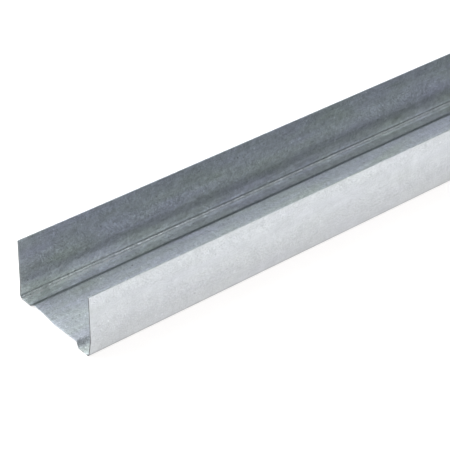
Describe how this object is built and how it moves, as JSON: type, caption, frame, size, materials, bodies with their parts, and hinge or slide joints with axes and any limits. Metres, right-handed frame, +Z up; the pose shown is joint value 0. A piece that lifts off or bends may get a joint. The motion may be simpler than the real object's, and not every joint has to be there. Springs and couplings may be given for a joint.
{
  "type": "drywall track",
  "caption": "Straight zinc-coated steel U-shaped track for drywall partitions, with square-edged flanges and a web whose wide middle is raised; studs stand between the flanges.",
  "frame": {"origin": "middle of the track's length and width, on the plane of the two foot strips that lie on the floor", "axes": "+X along the track, +Y across the web, +Z up the flanges; the end that the picture shows is at -X"},
  "size_m": [3, 0.048, 0.028],
  "materials": {
    "galvanised_sheet": "hot-dip zinc coating, satin, with a fine mottled spangle"
  },
  "bodies": {
    "root": {"track": "galvanised_sheet"}
  },
  "joints": []
}
